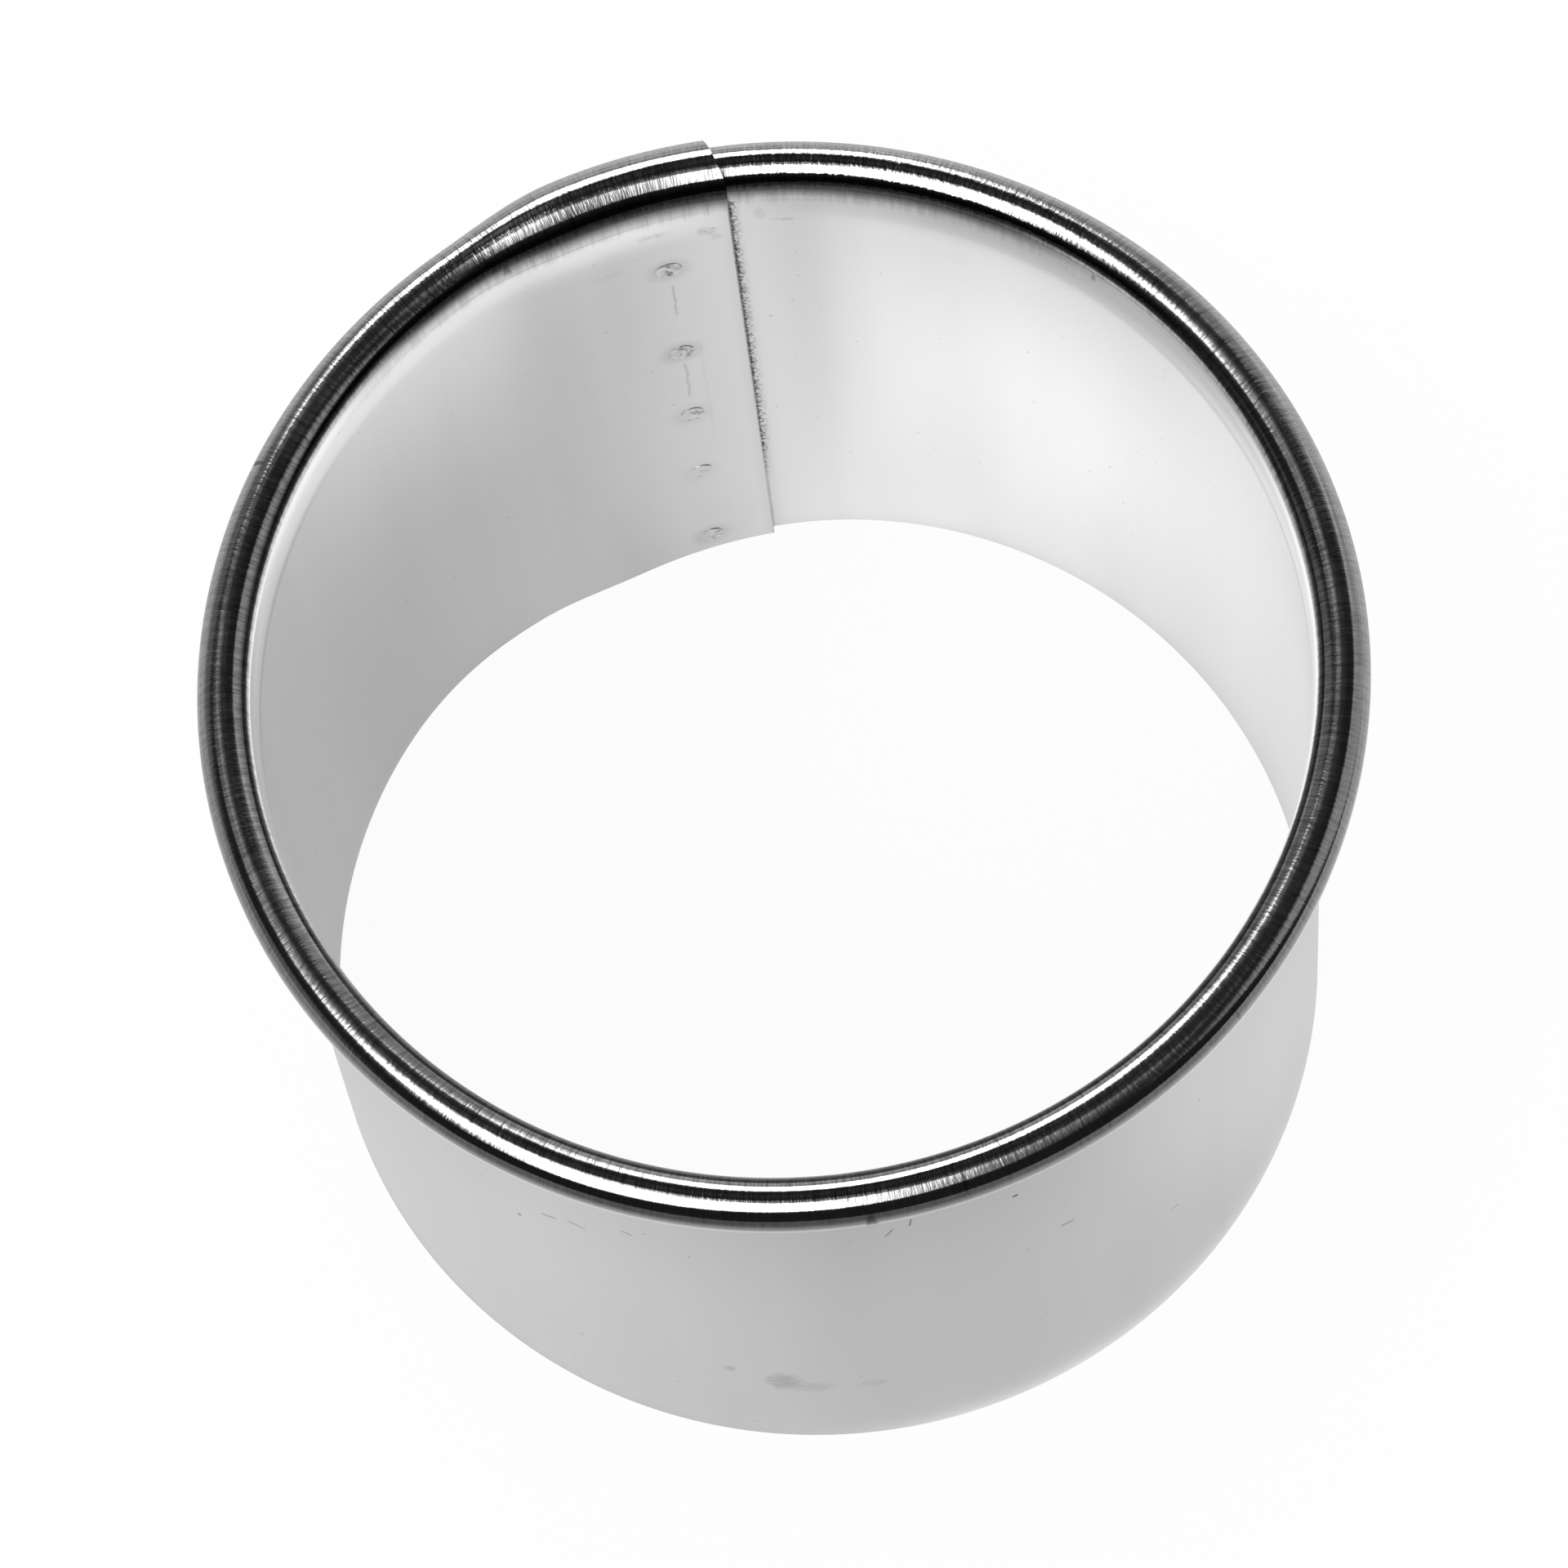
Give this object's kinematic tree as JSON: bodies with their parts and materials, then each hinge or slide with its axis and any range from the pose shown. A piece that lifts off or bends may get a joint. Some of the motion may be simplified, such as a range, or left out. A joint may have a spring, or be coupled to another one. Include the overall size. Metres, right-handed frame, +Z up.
{
  "type": "biscuit cutter",
  "caption": "Plain round biscuit cutter: a ring bent from thin stainless strip, its ends lapped and spot welded, with a straight cutting edge below and an outward rolled bead rim above.",
  "frame": {"origin": "centre of the ring in the plane of the cutting edge", "axes": "+Z up along the ring's axis, from the cutting edge to the rolled rim; +Y towards the lapped seam; the picture looks down from -Y"},
  "size_m": [0.0652, 0.0656, 0.0481],
  "materials": {
    "wall_steel": "satin rolled stainless sheet, unpolished",
    "rim_steel": "bright rolled bead with fine marks across it from the rolls",
    "weld_steel": "dull grey electrode mark"
  },
  "bodies": {
    "root": {"wall_band": "wall_steel", "rolled_rim": "rim_steel", "spot_weld_1": "weld_steel", "spot_weld_2": "weld_steel", "spot_weld_3": "weld_steel", "spot_weld_4": "weld_steel", "spot_weld_5": "weld_steel"}
  },
  "joints": []
}
